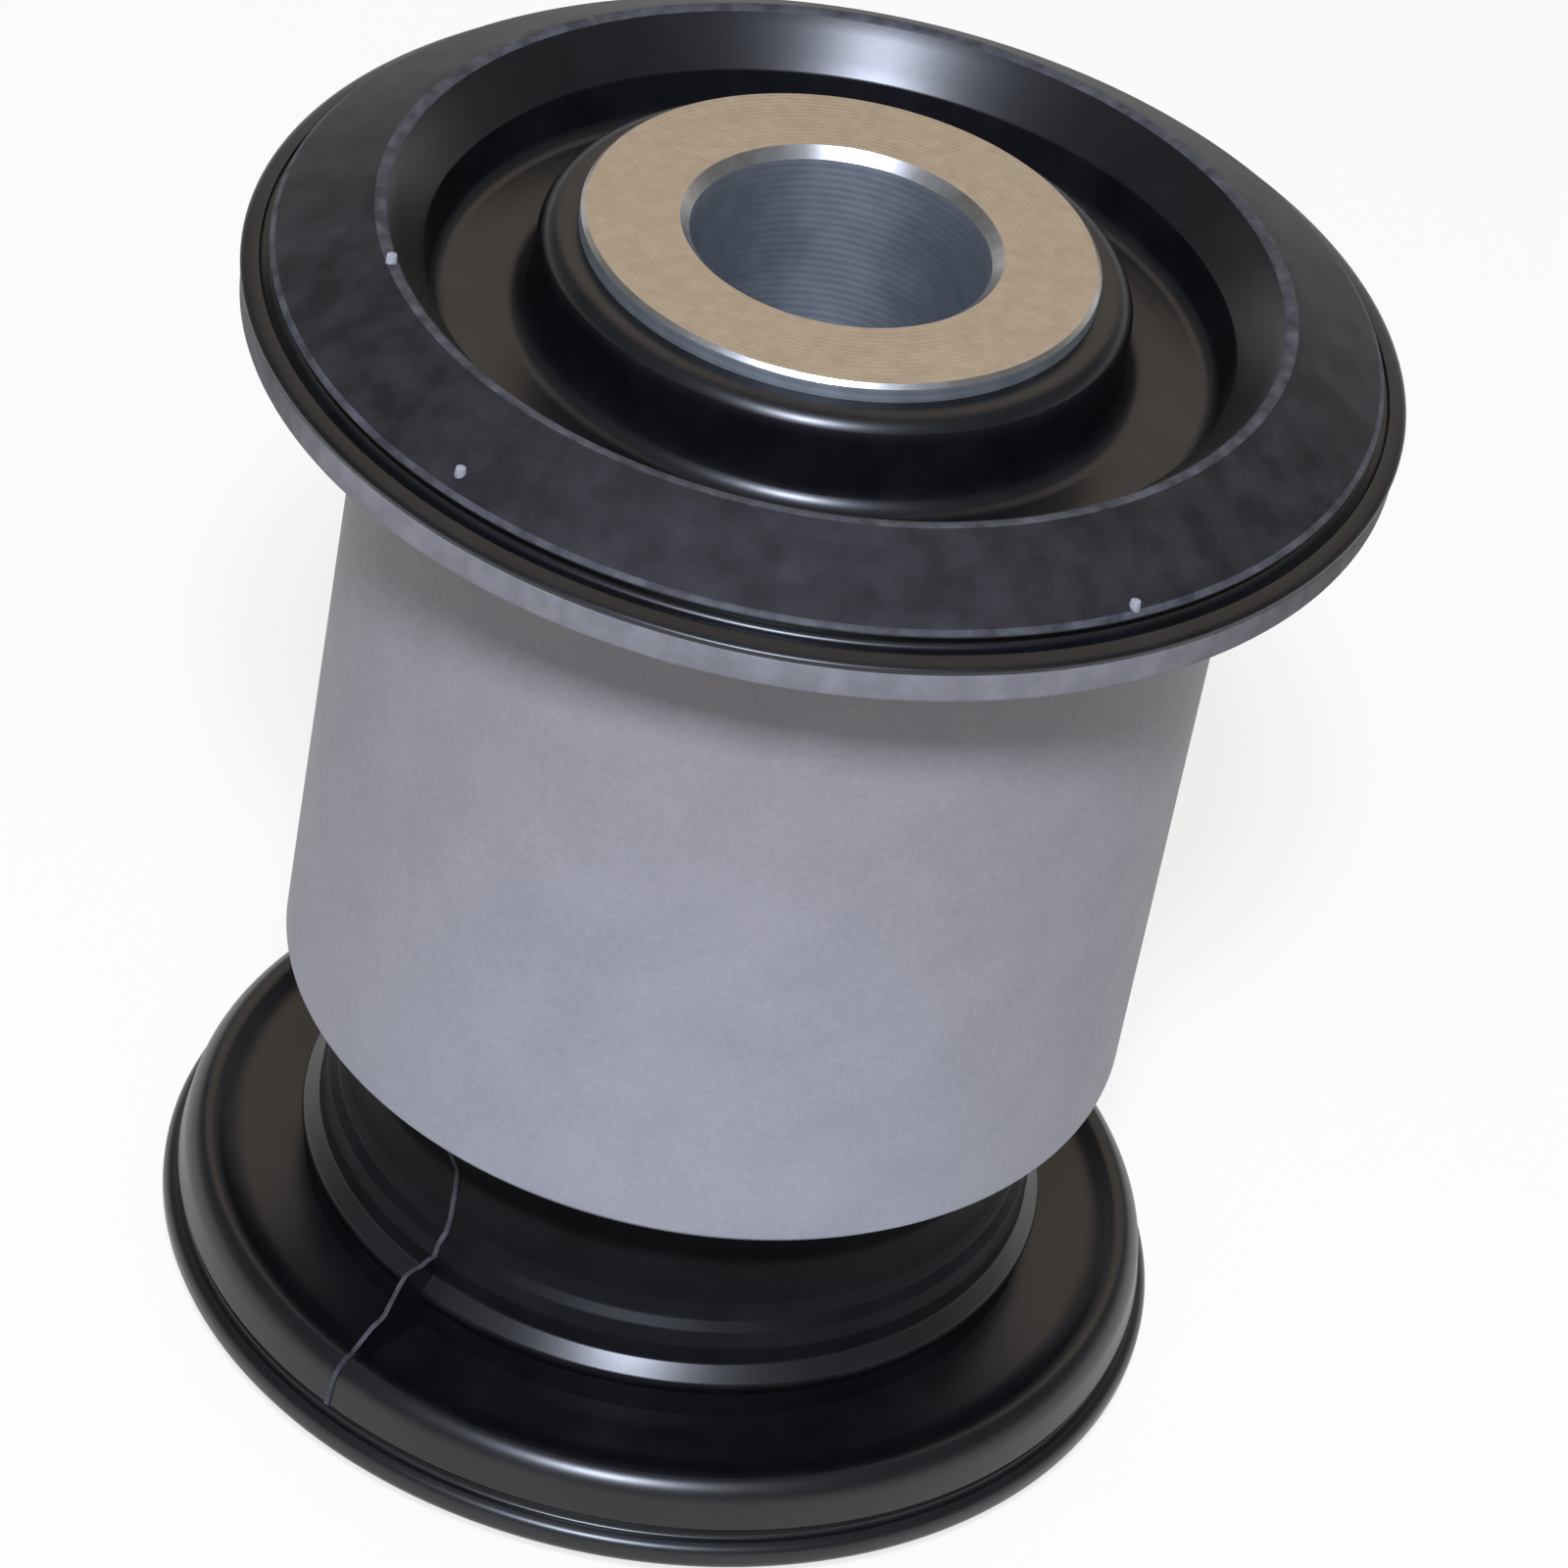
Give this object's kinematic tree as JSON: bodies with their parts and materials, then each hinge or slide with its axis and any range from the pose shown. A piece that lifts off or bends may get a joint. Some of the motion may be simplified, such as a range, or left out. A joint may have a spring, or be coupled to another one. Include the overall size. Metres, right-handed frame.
{
  "type": "rubber metal bush",
  "caption": "Bonded rubber and steel suspension bush: thick inner sleeve, thin outer sleeve with a collar, rubber flanges at both ends.",
  "frame": {"origin": "on the bore's axis, in the plane of the inner sleeve's lower end", "axes": "+Z along the bore, from the lower rubber flange towards the collar"},
  "size_m": [0.055, 0.0548, 0.062],
  "materials": {
    "turned_steel": "turned, bright chamfers",
    "pressed_steel": "dull grey, satin",
    "black_rubber": "moulded, satin to semi-gloss"
  },
  "bodies": {
    "root": {"inner_sleeve": "turned_steel", "outer_sleeve": "pressed_steel", "rubber_body": "black_rubber"}
  },
  "joints": []
}
